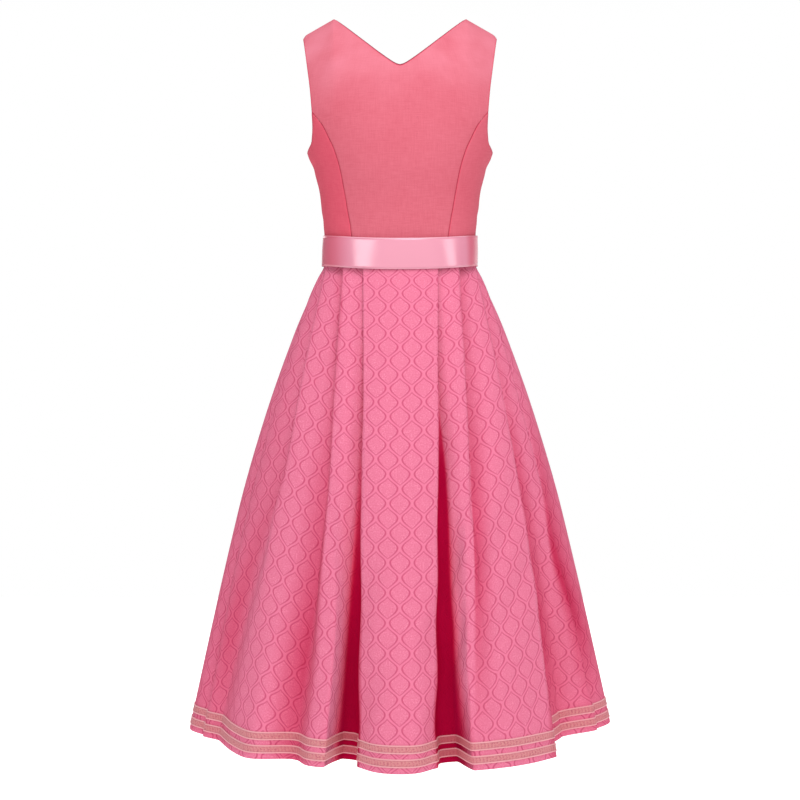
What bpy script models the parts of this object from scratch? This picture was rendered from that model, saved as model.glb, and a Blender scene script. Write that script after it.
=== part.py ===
"""A sleeveless dirndl, filled out as if worn: bodice panels, ribbon belt, pleated skirt and hem trims.

Metres, +Z up. The origin is where the shoulders carry the dress: the height of its neck points, midway
between them. The back faces -Y and X runs across it. A "turn" is the angle round the body in degrees:
0 at the centre back, 90 at the side seam on +X, 180 at the centre front.
"""

import math

import bmesh
import bpy
import numpy as np

SEAM_GAP = 0.0003
BODICE_WALL = 0.0014
SKIRT_WALL = 0.0013
RIBBON_WALL = 0.0011
TRIM_WALL = 0.0011

# The bodice: half widths across and depths fore and aft, and the lines that its panels are cut to.
ROUNDNESS = 2.2  # exponent of the body's oval sections, 2 for an ellipse
BODY_WIDTH = {
    "z": (-0.400, -0.344, -0.305, -0.279, -0.2535, -0.2406, -0.2276, -0.218, -0.196, -0.170, -0.120, 0.0),
    "half": (0.1222, 0.1227, 0.1272, 0.1304, 0.1369, 0.1401, 0.1466, 0.150, 0.158, 0.172, 0.183, 0.190),
}
BODY_DEPTH = {
    "below_shoulder": (0.0, 0.005, 0.015, 0.030, 0.050, 0.080, 0.120, 0.160, 0.218, 0.250, 0.290, 0.344, 0.400),
    "back": (0.0, 0.022, 0.039, 0.056, 0.073, 0.091, 0.106, 0.113, 0.1155, 0.112, 0.102, 0.0920, 0.0885),
    "front": (0.0, 0.020, 0.035, 0.049, 0.061, 0.075, 0.090, 0.103, 0.115, 0.116, 0.106, 0.0920, 0.0885),
}
BUST_OUT = 0.011
BUST_X, BUST_Z = 0.082, -0.236
BUST_WIDE, BUST_TALL = 0.048, 0.058

NECK_POINT_X = 0.107
SHOULDER_END_X = 0.157
SHOULDER_END_Z = -0.0284
ARMHOLE = {
    "z": (-0.218, -0.2118, -0.2073, -0.196, -0.158, -0.139, -0.120, -0.0928, -0.0646, SHOULDER_END_Z),
    "back": (0.150, 0.1456, 0.1423, 0.1400, 0.1399, 0.1414, 0.1433, 0.147, 0.1512, SHOULDER_END_X),
    "front": (0.150, 0.1435, 0.1385, 0.1345, 0.1310, 0.1325, 0.1360, 0.142, 0.1490, SHOULDER_END_X),
}
UNDERARM_Z = ARMHOLE["z"][0]
BACK_PRINCESS = {
    "z": (-0.400, -0.354, -0.318, -0.278, -0.2466, -0.2233, -0.201, -0.1768, -0.158),
    "x": (0.0745, 0.0766, 0.0824, 0.0893, 0.0955, 0.1025, 0.1122, 0.1250, 0.1399),
}
FRONT_PRINCESS = {
    "z": (-0.400, -0.344, -0.290, -0.250, -0.215, -0.190, -0.168, -0.150),
    "x": (0.0690, 0.0715, 0.0780, 0.0850, 0.0930, 0.1040, 0.1170, 0.1314),
}
BACK_V = {
    "x": (0.0, 0.006, 0.0112, 0.0196, 0.0367, 0.0585, NECK_POINT_X),
    "z": (-0.0856, -0.0839, -0.0808, -0.0748, -0.0613, -0.0428, 0.0),
}
FRONT_NECK_DEPTH = 0.165
FRONT_NECK_SQUARENESS = 5.0

# The waist seam and the skirt. A drop is the distance down from the waist seam.
WAIST_Z = -0.3755
WAIST_DIP = 0.0075  # how much lower the waist runs at the centre back
HEM_Z = -1.153
HEM_LIFTS = {-1: 0.0075, 1: 0.017}  # how much the hem rises towards the side seams on -X and +X
SKIRT_LENGTH = WAIST_Z - HEM_Z
SKIRT_SIZE = {
    "drop": (0.0, 0.026, 0.040, 0.062, 0.090, 0.135, 0.200, 0.280, 0.370, 0.480, 0.600, 0.700, SKIRT_LENGTH),
    "half": (0.1226, 0.1234, 0.1312, 0.1420, 0.1540, 0.1711, 0.1953, 0.2219, 0.2482, 0.2750, 0.3019, 0.3234, 0.3400),
}
WAIST_HALF_DEPTH = 0.0912
HEM_HALF_DEPTH = 0.2930
FOLD_LEVELS = (0.0, 0.30, SKIRT_LENGTH)  # the drops that the columns of the pleat tables stand for
LAYER = 0.0023  # from one layer of a pleat to the next, at mid wall

# One row for each pleat, from the centre out. "edge" is how far its outer fold stands from the centre
# line, and "out" its share of the skirt's full radius. "past" is how far round its inner fold lies past
# that edge, or under it where negative, "deep" how much nearer the axis it is as a share of the radius,
# "soft" how far the edge has rounded off at the hem, and "steep" how much an open fold's wall bends,
# from halfway towards its edge and its floor.
PLEATS_PLUS_X = (
    {"edge": (0.0610, 0.0572, 0.0520), "out": (1.0, 0.990, 0.873), "past": (-0.028, 0.012, 0.039),
     "deep": (0.0, 0.105, 0.120), "soft": 0.006, "steep": 0.40, "panel": 2},
    {"edge": (0.0925, 0.1050, 0.1165), "out": (1.0, 0.990, 0.972), "past": (-0.026, -0.004, 0.036),
     "deep": (0.0, 0.012, 0.004), "soft": 0.024, "steep": 0.00, "panel": 3},
    {"edge": (0.1160, 0.1760, 0.2393), "out": (1.0, 0.985, 0.929), "past": (-0.026, 0.000, 0.150),
     "deep": (0.0, 0.040, 0.168), "soft": 0.006, "steep": 0.42, "panel": 2},
    {"edge": (0.1230, 0.2080, 0.3160), "out": (1.0, 0.985, 0.935), "past": (-0.015, -0.004, 0.006),
     "deep": (0.0, 0.010, 0.000), "soft": 0.020, "steep": 0.00, "panel": 2},
)
PLEATS_MINUS_X = (
    {"edge": (0.0590, 0.0572, 0.0617), "out": (1.0, 0.990, 0.849), "past": (-0.028, 0.012, 0.042),
     "deep": (0.0, 0.105, 0.166), "soft": 0.006, "steep": 0.40, "panel": 2},
    {"edge": (0.0890, 0.1065, 0.1135), "out": (1.0, 0.985, 0.906), "past": (-0.026, -0.004, 0.060),
     "deep": (0.0, 0.020, 0.097), "soft": 0.024, "steep": 0.00, "panel": 3},
    {"edge": (0.1145, 0.1715, 0.2370), "out": (1.0, 0.985, 0.935), "past": (-0.026, 0.000, 0.130),
     "deep": (0.0, 0.038, 0.058), "soft": 0.020, "steep": 0.00, "panel": 2},
    {"edge": (0.1228, 0.2160, 0.3154), "out": (1.0, 0.985, 0.945), "past": (-0.015, 0.000, 0.006),
     "deep": (0.0, 0.010, 0.000), "soft": 0.010, "steep": 0.00, "panel": 2},
)
OUTERMOST_FOLD = math.radians(84)  # no outer fold comes nearer to the side seam than this turn
LOOSE_DROP = 0.30  # the drop at which the pleats have loosened from pressed folds into soft ones
NARROWEST_PANEL = 0.012
OPEN_PAST = 0.009  # a fold open by this much needs no room between its layers
EMERGES_PAST = 0.0025
CENTRE_BULGE = 2.5  # how late the centre panel curves back towards its edges
SEAM_OUT_DROP = 0.12
SEAM_TUCKED_IN = 0.045  # how far inside the waist line the side seam starts, as a share of the radius
HEM_BAND = 0.93  # below this share of the length the section keeps its form, and only widens
SKIRT_ROWS = (0.0, 0.033, 0.056, 0.090, 0.140, 0.210, 0.300, 0.400, 0.500, 0.610, 0.720, 0.830, HEM_BAND, 1.0)

# The ribbon belt and the two rows of trim.
RIBBON_HEIGHT = 0.049
RIBBON_HALF_TOP, RIBBON_HALF_BOTTOM = 0.1250, 0.1263
RIBBON_DEPTH_TOP, RIBBON_DEPTH_BOTTOM = 0.0958, 0.0956
RIBBON_STARTS = 186.0
RIBBON_LAP = 17.0  # degrees by which its end lies over its start, at the centre front
TRIM_HEIGHT = 0.012
TRIM_LOWER_EDGES = {"lower": 0.0085, "upper": 0.028}  # how far each row of trim lies above the hem

COLOURS = {
    "bodice": ((0.80, 0.18, 0.23), 0.75),
    "skirt": ((0.87, 0.22, 0.35), 0.70),
    "ribbon": ((0.90, 0.38, 0.49), 0.30),
    "trim": ((0.68, 0.26, 0.28), 0.80),
}


def curve(xs, ys, at):
    """The smooth curve through a table's rows, read at one value or an array of them."""
    xs, ys, at = np.asarray(xs, float), np.asarray(ys, float), np.asarray(at, float)
    slope = np.gradient(ys, xs)
    low = np.clip(np.searchsorted(xs, at) - 1, 0, len(xs) - 2)
    step = xs[low + 1] - xs[low]
    t = np.clip((at - xs[low]) / step, 0, 1)
    start = (1 + 2 * t) * (1 - t) ** 2 * ys[low] + t * (1 - t) ** 2 * step * slope[low]
    return start + t * t * (3 - 2 * t) * ys[low + 1] - t * t * (1 - t) * step * slope[low + 1]


def waist_height(turn):
    """The waist seam's height, which dips towards the centre back."""
    return WAIST_Z - WAIST_DIP * max(math.cos(math.radians(turn)), 0) ** 2


# The bodice.


def body_point(turn, z):
    """The bodice's outer surface at this angle round the body and this height."""
    across, along = math.sin(math.radians(turn)), math.cos(math.radians(turn))
    x = curve(BODY_WIDTH["z"], BODY_WIDTH["half"], z) * abs(across) ** (2 / ROUNDNESS)
    shoulder = SHOULDER_END_Z * np.clip((x - NECK_POINT_X) / (SHOULDER_END_X - NECK_POINT_X), 0, 1.2)
    below = np.sqrt(max(shoulder - z, 0))
    rows = np.sqrt(BODY_DEPTH["below_shoulder"])
    depth = curve(rows, BODY_DEPTH["back" if along > 0 else "front"], below)
    y = depth * abs(along) ** (2 / ROUNDNESS)
    if along < 0:
        wide, tall = (x - BUST_X) / BUST_WIDE, (z - BUST_Z) / BUST_TALL
        y += BUST_OUT * math.exp(-wide * wide - tall * tall) * min(1, 2 * abs(along))
    return np.array((math.copysign(x, across), -math.copysign(y, along), z))


def body_normal(turn, z):
    """The outward direction of the bodice's surface there."""
    step = 0.002
    round_body = body_point(turn + 1, z) - body_point(turn - 1, z)
    upwards = body_point(turn, z) - body_point(turn, z - step)
    out = np.cross(round_body, upwards)
    return out / np.linalg.norm(out)


def turn_at(x, z, front):
    """The turn, from 0 to 180, at which the surface lies this far from the centre line."""
    share = min(abs(x) / float(curve(BODY_WIDTH["z"], BODY_WIDTH["half"], z)), 1.0)
    turn = math.degrees(math.asin(share ** (ROUNDNESS / 2)))
    return 180 - turn if front else turn


def armhole_x(z, face):
    return float(curve(ARMHOLE["z"], ARMHOLE[face], z))


def outer_edge_x(z, face, seam):
    """How far out a centre panel reaches: to its princess seam, and above that to the armhole."""
    return float(curve(seam["z"], seam["x"], z)) if z < seam["z"][-1] else armhole_x(z, face)


def back_top(x):
    """The top edge of the centre back: the V neck, then the shoulder seam."""
    if x < NECK_POINT_X:
        return float(curve(BACK_V["x"], BACK_V["z"], x))
    return SHOULDER_END_Z * (x - NECK_POINT_X) / (SHOULDER_END_X - NECK_POINT_X)


def side_top(share, seam, face, front):
    """The armhole's height at this share of the way from the princess seam to the side seam."""
    low, high = UNDERARM_Z, seam["z"][-1]
    for _ in range(30):
        z = (low + high) / 2
        turn = side_turn(share, z, seam, front)
        inside = body_point(turn, z)[0] < armhole_x(z, face)
        low, high = (z, high) if inside else (low, z)
    return low


def side_turn(share, z, seam, front):
    seam_turn = turn_at(float(curve(seam["z"], seam["x"], z)), z, front)
    return seam_turn + (90 - seam_turn) * share


def rising(low, middle, top):
    """Heights of a line's rows: evenly up to the level where the armhole begins, then closer to the top."""
    return [low + (middle - low) * t for t in LOWER_STEPS] + [middle + (top - middle) * t for t in UPPER_STEPS]


def back_line(share):
    """A line up the centre back from the waist to its top edge, at a share of the panel's half width."""
    top = BACK_PRINCESS["z"][-1]
    for _ in range(12):
        top = back_top(abs(share) * outer_edge_x(top, "back", BACK_PRINCESS))
    low = waist_height(back_waist_turn(abs(share))) + SEAM_GAP / 2
    heights = rising(low, BACK_PRINCESS["z"][-1], top)
    turns = [turn_at(abs(share) * outer_edge_x(z, "back", BACK_PRINCESS), z, False) for z in heights]
    inset = SEAM_INSET if abs(share) == 1 else 0
    return [math.copysign(turn - inset, share) for turn in turns], heights


def neckline():
    """Evenly spaced points of the front neckline, from the centre to the neck point."""
    x = np.linspace(0, 1, 200)
    z = x ** FRONT_NECK_SQUARENESS
    along = np.concatenate(((0,), np.cumsum(np.hypot(np.diff(x) * NECK_POINT_X, np.diff(z) * FRONT_NECK_DEPTH))))
    at = np.linspace(0, along[-1], len(FRONT_STEPS))
    return np.interp(at, along, x) * NECK_POINT_X, (np.interp(at, along, z) - 1) * FRONT_NECK_DEPTH


def front_lines():
    """Lines up a front half, from its princess seam and armhole in to its centre edge and neckline."""
    low = waist_height(180) + SEAM_GAP / 2
    level = FRONT_PRINCESS["z"][-1]
    outer_z = [low + (level - low) * t for t in LOWER_STEPS]
    outer_z += [level + (SHOULDER_END_Z - level) * t for t in FRONT_STEPS]
    outer_x = [outer_edge_x(z, "front", FRONT_PRINCESS) for z in outer_z]
    neck_x, neck_z = neckline()
    inner_x = [0.0] * len(LOWER_STEPS) + list(neck_x)
    inner_z = [low + (neck_z[0] - low) * t for t in LOWER_STEPS] + list(neck_z)
    lines = []
    for share in FRONT_SHARES:
        xs = [max(a + (b - a) * share, SEAM_GAP / 2) for a, b in zip(inner_x, outer_x)]
        zs = [a + (b - a) * share for a, b in zip(inner_z, outer_z)]
        inset = SEAM_INSET if share == 1 else 0
        lines.append(([turn_at(x, z, True) + inset for x, z in zip(xs, zs)], zs))
    return lines


def back_waist_turn(share):
    """The turn at the waist of a line this far out across the centre back panel."""
    z = waist_height(0)
    return turn_at(share * float(curve(BACK_PRINCESS["z"], BACK_PRINCESS["x"], z)), z, False)


def side_line(share, seam, face, front):
    """A line up a side panel from the waist to the armhole."""
    waist = waist_height(0 if not front else 180)
    waist_seam_turn = turn_at(float(curve(seam["z"], seam["x"], waist)), waist, front)
    low = waist_height(waist_seam_turn + (90 - waist_seam_turn) * share) + SEAM_GAP / 2
    top = side_top(share, seam, face, front)
    heights = [low + (top - low) * t for t in (*LOWER_STEPS, 1.0)]
    inset = SEAM_INSET * (1 if front else -1)
    turns = [side_turn(share, z, seam, front) + {0.0: -inset, 1.0: inset}.get(share, 0) for z in heights]
    return turns, heights


SEAM_INSET = math.degrees(SEAM_GAP * 0.55 / 0.10)  # half a seam's gap, as a turn
LOWER_STEPS = tuple(np.linspace(0, 1, 7)[:-1])
UPPER_STEPS = tuple(1 - (1 - np.linspace(0, 1, 8)) ** 1.8)
FRONT_STEPS = tuple(np.linspace(0, 1, 14))
BACK_SHARES = (0.0, 0.05, 0.13, 0.26, 0.41, 0.55, NECK_POINT_X / SHOULDER_END_X, 0.84, 1.0)
FRONT_SHARES = (1.0, 0.84, 0.68, 0.52, 0.36, 0.18, 0.0)
SIDE_SHARES = (0.0, 0.2, 0.4, 0.6, 0.8, 1.0)


def bodice_grids(lines, mirrored):
    """Outer and inner points of a panel, row by row, from its lines of turns and heights."""
    outer, inner = [], []
    for turns, heights in lines:
        points = [body_point(turn, z) for turn, z in zip(turns, heights)]
        ins = [point - BODICE_WALL * body_normal(turn, z) for point, turn, z in zip(points, turns, heights)]
        outer.append(points)
        inner.append(ins)
    outer, inner = np.array(outer).transpose(1, 0, 2), np.array(inner).transpose(1, 0, 2)
    if mirrored:
        flip = np.array((-1, 1, 1))
        outer, inner = outer[:, ::-1] * flip, inner[:, ::-1] * flip
    return outer, inner


def part_at_shoulder(outer, inner, facing):
    """Leaves the shoulder seam's gap, and keeps the wall's end upright there."""
    on_seam = outer[-1, :, 2] > SHOULDER_END_Z - 0.001
    on_seam &= np.abs(outer[-1, :, 1]) < 0.002
    for grid in (outer, inner):
        grid[-1, on_seam, 1] = facing * SEAM_GAP
    return outer, inner


# The skirt.


def levels(values, drop):
    return float(curve(FOLD_LEVELS, values, drop))


class Ring:
    """The skirt's oval section at one drop below the waist, before its pleats."""

    def __init__(self, drop):
        self.half = float(curve(SKIRT_SIZE["drop"], SKIRT_SIZE["half"], drop))
        spread = (self.half - SKIRT_SIZE["half"][0]) / (SKIRT_SIZE["half"][-1] - SKIRT_SIZE["half"][0])
        self.depth = WAIST_HALF_DEPTH + (HEM_HALF_DEPTH - WAIST_HALF_DEPTH) * spread
        self.roundness = ROUNDNESS - (ROUNDNESS - 2) * min(drop / 0.3, 1)

    def angle(self, x, out):
        return math.asin(min(x / (self.half * out), 1.0) ** (self.roundness / 2))

    def radius(self, angle):
        return math.hypot(self.half * math.sin(angle), self.depth * math.cos(angle))

    def place(self, angle, out):
        across, along = math.sin(angle), math.cos(angle)
        x = out * self.half * across ** (2 / self.roundness)
        y = out * self.depth * math.copysign(abs(along) ** (2 / self.roundness), along)
        return x, -y, angle


def ease(t, round_off):
    """From a straight ramp to one that starts and ends level."""
    return t + (t * t * (3 - 2 * t) - t) * round_off


def half_section(pleats, drop):
    """Corners of half the skirt's section, from the centre line to the side seam, as angles and shares."""
    ring = Ring(drop)
    opened = min(drop / LOOSE_DROP, 1)
    corners = [(0.0, 1.0)]
    emerge, emerge_out, panel = 0.0, 1.0, 2
    for number, pleat in enumerate(pleats):
        out = levels(pleat["out"], drop)
        edge = min(ring.angle(levels(pleat["edge"], drop), out), OUTERMOST_FOLD)
        radius = ring.radius(edge)
        edge = max(edge, emerge + NARROWEST_PANEL * opened / radius)
        past = levels(pleat["past"], drop)
        layer = LAYER * (1 + opened) * min(max(1 - past / OPEN_PAST, 0), 1) / radius
        soft = min(pleat["soft"] / 2, 0.45 * max(past, 0)) / radius
        for k in range(1, panel + 1):  # the panel that ends at this edge
            t = k / (panel + 1)
            rise = ease(t, opened) if number else t ** CENTRE_BULGE
            corners.append((emerge + (edge - soft - emerge) * t, emerge_out + (out - emerge_out) * rise))
        tuck = max(edge + past / radius, edge - 0.65 * (edge - emerge))
        sunk = (out - emerge_out) * max(edge - tuck, 0) / (edge - emerge)
        floor = out - layer - max(sunk, 0) - levels(pleat["deep"], drop)
        spread = min(max((tuck - edge) / 6, 0), 0.006 / radius)
        corners += [(edge - soft, out), (edge + soft, out - layer)]
        across, down = tuck - spread - edge - soft, floor - out + layer
        bend = pleat["steep"] * min(max(past / OPEN_PAST, 0), 1)
        corners.append((edge + soft + across * (0.5 - bend), out - layer + down * (0.5 + bend)))
        corners += [(tuck - spread, floor), (tuck + spread, floor - layer)]
        emerge = max(tuck + spread, edge) + EMERGES_PAST / radius
        emerge_out, panel = min(floor - layer, out - 2 * layer), pleat["panel"]
        corners.append((emerge, emerge_out))
    seam_out = 1 - SEAM_TUCKED_IN * max(0, 1 - drop / SEAM_OUT_DROP)
    for k in range(1, panel + 2):
        t = k / (panel + 1)
        rise = emerge_out + (seam_out - emerge_out) * (1 - (1 - t) ** (1 + opened))
        corners.append((emerge + (math.pi / 2 - emerge) * t, rise))
    return [ring.place(angle, out) for angle, out in corners]


def rounded(row, amount):
    """The row with its corners rounded: the points of a cubic B-spline at its knots, in part or whole."""
    row = np.array(row)
    row[1:-1, :2] += amount / 6 * (row[:-2, :2] - 2 * row[1:-1, :2] + row[2:, :2])
    return row


def skirt_rows(facing):
    """Mid-wall points of the back (facing -1) or the front (+1) of the skirt, from hem to waist."""
    plus, minus = PLEATS_PLUS_X, PLEATS_MINUS_X
    if facing > 0:
        plus, minus = minus, plus
    rows = []
    for share in reversed(SKIRT_ROWS):
        drop = min(share, HEM_BAND) * SKIRT_LENGTH
        flare = Ring(share * SKIRT_LENGTH).half / Ring(drop).half
        row = []
        halves = [(half_section(minus, drop), -1), (half_section(plus, drop), 1)]
        halves[0] = (halves[0][0][:0:-1], -1)
        for half, side in halves:
            for x, y, angle in half:
                turn = math.degrees(angle) if facing < 0 else 180 - math.degrees(angle)
                low = HEM_Z + HEM_LIFTS[side] * max(0, (x - 0.24) / 0.1) ** 0.6
                top = waist_height(turn) - SEAM_GAP / 2
                row.append((side * x * flare, y * -facing * flare, top + (low - top) * share))
        row[0] = (row[0][0], facing * SEAM_GAP / 2, row[0][2])
        row[-1] = (row[-1][0], facing * SEAM_GAP / 2, row[-1][2])
        row = rounded(row, min(drop / LOOSE_DROP, 1) ** 2)
        rows.append(row if facing < 0 else row[::-1])
    return np.array(rows)


def level_normals(row, ends):
    """Sideways directions that move a row of points out by 1, mitred at its folds."""
    steps = np.diff(row[:, :2], axis=0)
    steps /= np.linalg.norm(steps, axis=1)[:, None]
    sides = np.stack((steps[:, 1], -steps[:, 0]), axis=1)
    before = np.concatenate((sides[:1], sides))
    after = np.concatenate((sides, sides[-1:]))
    both = before + after
    both /= np.linalg.norm(both, axis=1)[:, None]
    mitre = 1 / np.clip((both * before).sum(axis=1), 0.6, 1)
    out = both * mitre[:, None]
    if ends:  # a seam's end stays in the seam's plane
        out[0], out[-1] = (math.copysign(1, row[0, 0]), 0), (math.copysign(1, row[-1, 0]), 0)
    return np.concatenate((out, np.zeros((len(out), 1))), axis=1)


# The ribbon belt.


def ribbon_grids():
    turns = np.linspace(RIBBON_STARTS, RIBBON_STARTS + 360 + RIBBON_LAP, 60)
    outer, inner = [], []
    for up in (0.0, 0.5, 1.0):
        half = RIBBON_HALF_BOTTOM + (RIBBON_HALF_TOP - RIBBON_HALF_BOTTOM) * up
        depth = RIBBON_DEPTH_BOTTOM + (RIBBON_DEPTH_TOP - RIBBON_DEPTH_BOTTOM) * up
        row = []
        for turn in turns:
            lap = min(max((turn - RIBBON_STARTS - 340) / 18, 0), 1)
            wide = 1 + ease(lap, 1) * (RIBBON_WALL + 2 * SEAM_GAP) / depth
            across, along = math.sin(math.radians(turn)), math.cos(math.radians(turn))
            x = math.copysign(half * wide * abs(across) ** (2 / ROUNDNESS), across)
            y = -math.copysign(depth * wide * abs(along) ** (2 / ROUNDNESS), along)
            row.append((x, y, waist_height(turn) + (up - 0.5) * RIBBON_HEIGHT))
        row = np.array(row)
        aim = level_normals(row, False)
        outer.append(row)
        inner.append(row - aim * RIBBON_WALL)
    return np.array(outer), np.array(inner)


# Making the objects.


def cloth(name, outer, inner, material):
    """One closed wall: its outer points, its inner points, and the edges between them."""
    rows, columns = outer.shape[:2]
    bm = bmesh.new()
    faces = [[[bm.verts.new(point) for point in row] for row in grid] for grid in (outer, inner)]
    out, ins = faces
    for r in range(rows - 1):
        for c in range(columns - 1):
            bm.faces.new((out[r][c], out[r][c + 1], out[r + 1][c + 1], out[r + 1][c]))
            bm.faces.new((ins[r][c], ins[r + 1][c], ins[r + 1][c + 1], ins[r][c + 1]))
    for c in range(columns - 1):
        bm.faces.new((out[0][c + 1], out[0][c], ins[0][c], ins[0][c + 1]))
        bm.faces.new((out[-1][c], out[-1][c + 1], ins[-1][c + 1], ins[-1][c]))
    for r in range(rows - 1):
        bm.faces.new((out[r][0], out[r + 1][0], ins[r + 1][0], ins[r][0]))
        bm.faces.new((out[r + 1][-1], out[r][-1], ins[r][-1], ins[r + 1][-1]))
    mesh = bpy.data.meshes.new(name)
    bm.to_mesh(mesh)
    bm.free()
    mesh.shade_smooth()
    mesh.set_sharp_from_angle(angle=math.radians(40))
    mesh.materials.append(material)
    piece = bpy.data.objects.new(name, mesh)
    bpy.context.scene.collection.objects.link(piece)
    return piece


def make_material(name):
    colour, roughness = COLOURS[name]
    material = bpy.data.materials.new(name)
    material.use_nodes = True
    shader = material.node_tree.nodes["Principled BSDF"]
    shader.inputs["Base Color"].default_value = (*colour, 1)
    shader.inputs["Roughness"].default_value = roughness
    shader.inputs["Metallic"].default_value = 0
    return material


def make_bodice(material):
    shares = tuple(-share for share in BACK_SHARES[:0:-1]) + BACK_SHARES
    outer, inner = bodice_grids([back_line(share) for share in shares], False)
    cloth("bodice_back", *part_at_shoulder(outer, inner, -1), material)
    for hand, mirrored in (("right", False), ("left", True)):
        lines = [side_line(share, BACK_PRINCESS, "back", False) for share in SIDE_SHARES]
        cloth(f"bodice_side_back_{hand}", *bodice_grids(lines, mirrored), material)
        lines = [side_line(share, FRONT_PRINCESS, "front", True) for share in reversed(SIDE_SHARES)]
        cloth(f"bodice_side_front_{hand}", *bodice_grids(lines, mirrored), material)
        outer, inner = bodice_grids(front_lines(), mirrored)
        cloth(f"bodice_front_{hand}", *part_at_shoulder(outer, inner, 1), material)


def make_skirt_and_trims(skirt_material, trim_material):
    half_wall = SKIRT_WALL / 2
    for face, facing in (("back", -1), ("front", 1)):
        middle = skirt_rows(facing)
        aims = np.array([level_normals(row, True) for row in middle])
        cloth(f"skirt_{face}", middle + aims * half_wall, middle - aims * half_wall, skirt_material)
        rise = (middle[1, :, 2] - middle[0, :, 2]).mean()
        lies_on = half_wall + SEAM_GAP
        for row, low in TRIM_LOWER_EDGES.items():
            shares = [height / rise for height in (low, low + TRIM_HEIGHT)]
            band = np.array([middle[0] + (middle[1] - middle[0]) * share for share in shares])
            out = np.array([aims[0] + (aims[1] - aims[0]) * share for share in shares])
            cloth(f"trim_{row}_{face}", band + out * (lies_on + TRIM_WALL), band + out * lies_on, trim_material)


def main():
    for obj in list(bpy.data.objects):
        bpy.data.objects.remove(obj)
    materials = {name: make_material(name) for name in COLOURS}
    make_bodice(materials["bodice"])
    make_skirt_and_trims(materials["skirt"], materials["trim"])
    cloth("waist_ribbon", *ribbon_grids(), materials["ribbon"])


main()
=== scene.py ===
import math

import bpy
import numpy as np
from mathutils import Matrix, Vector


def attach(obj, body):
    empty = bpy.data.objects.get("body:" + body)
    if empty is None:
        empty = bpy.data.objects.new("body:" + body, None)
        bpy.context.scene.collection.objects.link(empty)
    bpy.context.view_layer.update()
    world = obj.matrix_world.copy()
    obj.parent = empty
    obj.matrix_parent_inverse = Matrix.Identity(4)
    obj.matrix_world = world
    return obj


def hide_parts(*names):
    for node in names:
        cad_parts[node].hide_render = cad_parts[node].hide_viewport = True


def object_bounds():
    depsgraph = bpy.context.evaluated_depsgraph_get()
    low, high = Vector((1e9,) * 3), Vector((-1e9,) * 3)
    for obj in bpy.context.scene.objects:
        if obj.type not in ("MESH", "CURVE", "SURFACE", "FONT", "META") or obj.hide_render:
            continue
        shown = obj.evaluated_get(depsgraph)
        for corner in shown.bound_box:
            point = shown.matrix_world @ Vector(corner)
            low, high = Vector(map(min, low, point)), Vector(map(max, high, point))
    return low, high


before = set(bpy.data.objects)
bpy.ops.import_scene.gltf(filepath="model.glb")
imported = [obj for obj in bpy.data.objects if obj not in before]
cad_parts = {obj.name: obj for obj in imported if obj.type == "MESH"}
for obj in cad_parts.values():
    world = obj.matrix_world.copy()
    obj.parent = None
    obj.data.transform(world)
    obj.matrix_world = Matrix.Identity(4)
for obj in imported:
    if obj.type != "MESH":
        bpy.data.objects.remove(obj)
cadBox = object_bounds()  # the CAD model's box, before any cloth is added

print("frame loaded:", len(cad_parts), "nodes")

# the dress faces away from the camera: -Y is its back, +Z up, origin midway between its neck points
# a turn is the angle round the body in degrees: 0 centre back, 90 the side at +X, 180 centre front

seamGap = 0.0003
rimRound = 0.00012  # how far a sheet's cut edge stands out
white = (1, 1, 1, 1)


def curveAt(xs, ys, at):
    # smooth curve through a table's rows, for one value or many
    xs, ys, at = np.asarray(xs, float), np.asarray(ys, float), np.asarray(at, float)
    slope = np.gradient(ys, xs, axis=0)
    low = np.clip(np.searchsorted(xs, at) - 1, 0, len(xs) - 2)
    step = xs[low + 1] - xs[low]
    t = np.clip((at - xs[low]) / step, 0, 1)
    if ys.ndim > 1:
        t, step = (a.reshape(a.shape + (1,) * (ys.ndim - 1)) for a in (t, step))
    start = (1 + 2 * t) * (1 - t) ** 2 * ys[low] + t * (1 - t) ** 2 * step * slope[low]
    return start + t * t * (3 - 2 * t) * ys[low + 1] - t * t * (1 - t) * step * slope[low + 1]


def ease(t, amount=1):
    return t + (t * t * (3 - 2 * t) - t) * amount


def eased(t):
    # smooth step that stays 0 before 0 and 1 after 1
    return ease(np.clip(t, 0, 1))


def unit(vectors):
    return vectors / np.maximum(np.linalg.norm(vectors, axis=-1, keepdims=True), 1e-12)


# waist line, shared by bodice, belt and skirt
waist = {"z": -0.3755, "dip": 0.0075}  # the dip is at the centre back


def waistHeight(turn):
    return waist["z"] - waist["dip"] * np.maximum(np.cos(np.radians(turn)), 0) ** 2


# the body that fills the bodice out
body = {
    "roundness": 2.2,
    "z": (-0.4, -0.344, -0.305, -0.279, -0.2535, -0.2406, -0.2276, -0.218, -0.196, -0.17, -0.12, 0),
    "half": (0.1222, 0.1227, 0.1272, 0.1304, 0.1369, 0.1401, 0.1466, 0.15, 0.158, 0.172, 0.183, 0.19),
    "below": (0, 0.005, 0.015, 0.03, 0.05, 0.08, 0.12, 0.16, 0.218, 0.25, 0.29, 0.344, 0.4),
    "back": (0, 0.022, 0.039, 0.056, 0.073, 0.091, 0.106, 0.113, 0.1155, 0.112, 0.102, 0.092, 0.0885),
    "front": (0, 0.02, 0.035, 0.049, 0.061, 0.075, 0.09, 0.103, 0.115, 0.116, 0.106, 0.092, 0.0885),
    "bustOut": 0.011,
    "bustX": 0.082,
    "bustZ": -0.236,
    "bustWide": 0.048,
    "bustTall": 0.058,
    "neckX": 0.107,
    "shoulderX": 0.157,
    "shoulderZ": -0.0284,
}


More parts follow.
